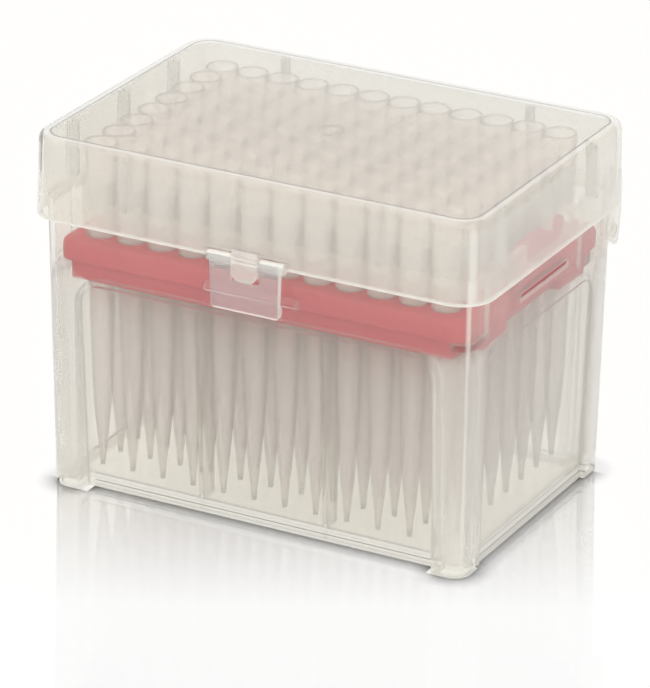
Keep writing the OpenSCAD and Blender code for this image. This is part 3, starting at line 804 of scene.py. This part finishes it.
class TIPBOX_OT_tips(bpy.types.Operator):
    """Makes the columns of ribbed hollow tips"""

    bl_idname = "tipbox.tips"
    bl_label = "Tips"

    def execute(self, context):
        sizes = context.scene.tipbox_tips
        plastic = tip_plastic("tip_plastic", context.scene.tipbox_colours.tips)
        tree = column_tree()
        seed = bpy.data.objects.new("tip_moulding", tip_mesh(sizes))
        context.scene.collection.objects.link(seed)
        for column in range(COLUMNS):
            seat = (
                (column - (COLUMNS - 1) / 2) * sizes.pitch,
                -(ROWS - 1) / 2 * sizes.pitch,
                0.0,
            )
            values = {
                "Moulding": seed,
                "Count": ROWS,
                "First seat": seat,
                "Pitch": sizes.pitch,
                "Seed": sizes.seed + column,
                "Material": plastic,
            }
            piece = grown(tree, f"tips_{column + 1:02d}", values)
            if not piece.data.polygons:
                raise RuntimeError("a column of tips came out empty")
            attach(piece, "base")
            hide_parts(f"tips_col_{column + 1:02d}")
        bpy.data.objects.remove(seed)
        return {"FINISHED"}


class TIPBOX_OT_filters(bpy.types.Operator):
    """Finishes the filter plugs"""

    bl_idname = "tipbox.filters"
    bl_label = "Filters"

    def execute(self, context):
        plug = filter_plastic("filter_plastic", context.scene.tipbox_colours.filters)
        for column in range(COLUMNS):
            dress(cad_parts[f"filters_col_{column + 1:02d}"], plug)
        return {"FINISHED"}


class TIPBOX_OT_lid(bpy.types.Operator):
    """Makes the clear lid"""

    bl_idname = "tipbox.lid"
    bl_label = "Lid"

    def execute(self, context):
        plastic = moulded_clear(
            "lid_plastic",
            context.scene.tipbox_colours.lid,
            tint=(0.983, 0.975, 0.946),
            milk=0.1,
            edge_milk=0.5,
            roughness=0.0,
            bend=1.06,
            gloss=1.0,
            grain=0.0,
            marks=lid_marks,
        )
        piece = moulded_copy("lid_cover", "lid_moulding", plastic)
        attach(piece, "lid")
        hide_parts("lid_cover")
        return {"FINISHED"}


class TIPBOX_OT_clip(bpy.types.Operator):
    """Makes the clear clip"""

    bl_idname = "tipbox.clip"
    bl_label = "Clip"

    def execute(self, context):
        plastic = moulded_clear(
            "clip_plastic",
            context.scene.tipbox_colours.clip,
            tint=(0.985, 0.98, 0.975),
            milk=0.24,
            edge_milk=0.6,
            roughness=0.06,
            bend=1.08,
            gloss=1.0,
            grain=0.00002,
            marks=clip_marks,
        )
        piece = moulded_copy("latch_clip", "clip_moulding", plastic)
        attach(piece, "clip")
        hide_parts("latch_clip")
        return {"FINISHED"}


# ---------------------------------------------------------------- stage


def studio_floor(name):
    """White floor with a mirror image that fades away from the box, painted cream light under the box, and
    a contact shadow along its foot."""
    mat = Recipe(bpy.data.materials.new(name))
    x, y, _ = mat.axes()
    past_x = (x.size() - FOOT_X).at_least(0.0)
    past_y = (y.size() - FOOT_Y).at_least(0.0)
    feet = ((past_x**2.0 + past_y**2.0) ** 0.5).within(FOOT_R)
    feet = feet * x.beyond(FOOT_IN_X) * y.beyond(FOOT_IN_Y, 0.0004)
    under = (x.within(PRINT_X) * y.within(PRINT_Y)).at_least(feet)

    away = x * NEAR_X + y * NEAR_Y - NEAR_START
    mirrored = (0.56 - away * 10.0).at_least(0.06).at_most(0.66) * (1.0 - under * 0.85)
    open_white = mat.node("ShaderNodeEmission", None, {"Color": (1, 1, 1), "Strength": 1.0})
    # Painted cream light on the floor under the box
    painted_cream_light = mat.node("ShaderNodeEmission", None, {"Color": (0.99, 0.97, 0.91), "Strength": 1.0})
    chalk = mat.node("ShaderNodeBsdfDiffuse", None, {"Color": (0.93, 0.93, 0.93)})
    sheen = mat.node("ShaderNodeBsdfGlossy", None, {"Color": (1, 0.99, 0.965), "Roughness": 0.0})
    plain = mat.mix(mat.seen(), chalk, mat.mix(under, open_white, painted_cream_light))

    near_box = mat.node("ShaderNodeAmbientOcclusion", {"samples": 6}, {"Distance": 0.006}, out="AO")
    hidden_left = y.within(PRINT_Y) * x.falling(-PRINT_X)
    hidden_back = y.rising(PRINT_Y)
    spared = (under * 0.95).at_least(hidden_left * 0.85).at_least(hidden_back * 0.85)
    lit = ((near_box - 0.5) * 1.45 + 0.33).at_least(spared).at_most(1.0)
    shadow = mat.node("ShaderNodeBsdfDiffuse", None, {"Color": (0.02, 0.02, 0.02)})
    return mat.finish(mat.mix(lit, shadow, mat.mix(mirrored, plain, sheen)))


def studio_sky(name, strength):
    """Even light that is stronger from above, and white where it is seen."""
    sky = Recipe(bpy.data.worlds.new(name))
    seen = sky.seen()
    above = sky.axes("Generated")[2].at_least(0.0)
    soft = (above * 0.6 + 0.5) * strength
    level = soft + seen * (1.0 - soft)
    light = sky.node("ShaderNodeBackground", None, {"Color": (1, 1, 1), "Strength": level})
    sky.node("ShaderNodeOutputWorld", None, {"Surface": light})
    return sky.owner


def studio_lamp(name, power, place):
    """A large soft lamp that shines at the box."""
    lamp = bpy.data.lights.new(name, "AREA")
    lamp.shape = "RECTANGLE"
    lamp.size, lamp.size_y = LAMP_SIZE
    lamp.energy = power
    holder = bpy.data.objects.new(name, lamp)
    holder.location = place
    holder.rotation_euler = (Vector(LAMP_AIM) - holder.location).to_track_quat("-Z", "Y").to_euler()
    bpy.context.scene.collection.objects.link(holder)


def studio_camera(stage):
    """The camera, turned and rolled round its aim."""
    out = Vector(
        (
            math.sin(stage.azimuth) * math.cos(stage.elevation),
            -math.cos(stage.azimuth) * math.cos(stage.elevation),
            math.sin(stage.elevation),
        )
    )
    right = (-out).cross(Vector((0, 0, 1))).normalized()
    up = right.cross(-out)
    turned = right * math.cos(stage.roll) + up * math.sin(stage.roll)
    upright = up * math.cos(stage.roll) - right * math.sin(stage.roll)
    data = bpy.data.cameras.new("camera")
    data.lens = stage.lens
    data.clip_start, data.clip_end = 0.05, 20.0
    camera = bpy.data.objects.new("camera", data)
    turn = Matrix((turned, upright, out)).transposed().to_4x4()
    camera.matrix_world = Matrix.Translation(Vector(stage.aim) + out * stage.distance) @ turn
    bpy.context.scene.collection.objects.link(camera)
    return camera


class TIPBOX_OT_stage(bpy.types.Operator):
    """Sets up the camera, the even studio light and the white floor"""

    bl_idname = "tipbox.stage"
    bl_label = "Stage"

    def execute(self, context):
        scene = context.scene
        stage = scene.tipbox_stage
        scene.view_settings.view_transform = "Standard"

        half = FLOOR_HALF
        corners = [(-half, -half, 0), (half, -half, 0), (half, half, 0), (-half, half, 0)]
        floor_mesh = bpy.data.meshes.new("floor")
        floor_mesh.from_pydata(corners, [], [(0, 1, 2, 3)])
        floor = bpy.data.objects.new("floor", floor_mesh)
        scene.collection.objects.link(floor)
        dress(floor, studio_floor("studio_floor"))

        scene.world = studio_sky("studio", stage.sky)
        studio_lamp("overhead", stage.key, OVERHEAD_PLACE)
        studio_lamp("front", stage.fill, FRONT_PLACE)
        scene.camera = studio_camera(stage)

        rays = scene.cycles
        rays.max_bounces = 24
        rays.transmission_bounces = 22
        rays.diffuse_bounces = 3
        rays.glossy_bounces = 4
        rays.transparent_max_bounces = 64
        rays.denoising_input_passes = "RGB"
        return {"FINISHED"}


# ---------------------------------------------------------------- add-on


OPERATORS = (
    TIPBOX_OT_base,
    TIPBOX_OT_rack,
    TIPBOX_OT_tips,
    TIPBOX_OT_filters,
    TIPBOX_OT_lid,
    TIPBOX_OT_clip,
    TIPBOX_OT_stage,
)


class TIPBOX_PT_panel(bpy.types.Panel):
    """Lists the pieces of the tip box"""

    bl_idname = "TIPBOX_PT_panel"
    bl_label = "Tip Box"
    bl_space_type = "VIEW_3D"
    bl_region_type = "UI"
    bl_category = "Tip Box"

    def draw(self, context):
        for operator in OPERATORS:
            self.layout.operator(operator.bl_idname)


GROUPS = (TipSizes, PlasticColours, StageSettings)


def register():
    for item in GROUPS + OPERATORS + (TIPBOX_PT_panel,):
        bpy.utils.register_class(item)
    bpy.types.Scene.tipbox_tips = PointerProperty(type=TipSizes)
    bpy.types.Scene.tipbox_colours = PointerProperty(type=PlasticColours)
    bpy.types.Scene.tipbox_stage = PointerProperty(type=StageSettings)


def unregister():
    del bpy.types.Scene.tipbox_stage
    del bpy.types.Scene.tipbox_colours
    del bpy.types.Scene.tipbox_tips
    for item in reversed(GROUPS + OPERATORS + (TIPBOX_PT_panel,)):
        bpy.utils.unregister_class(item)


def plain(box):
    """A box as plain lists of numbers."""
    return [[float(v) for v in corner] for corner in box]


def main():
    register()
    bpy.ops.tipbox.base()
    bpy.ops.tipbox.rack()
    bpy.ops.tipbox.tips()
    bpy.ops.tipbox.filters()
    bpy.ops.tipbox.lid()
    bpy.ops.tipbox.clip()
    bpy.ops.tipbox.stage()


if __name__ == "__main__":
    main()
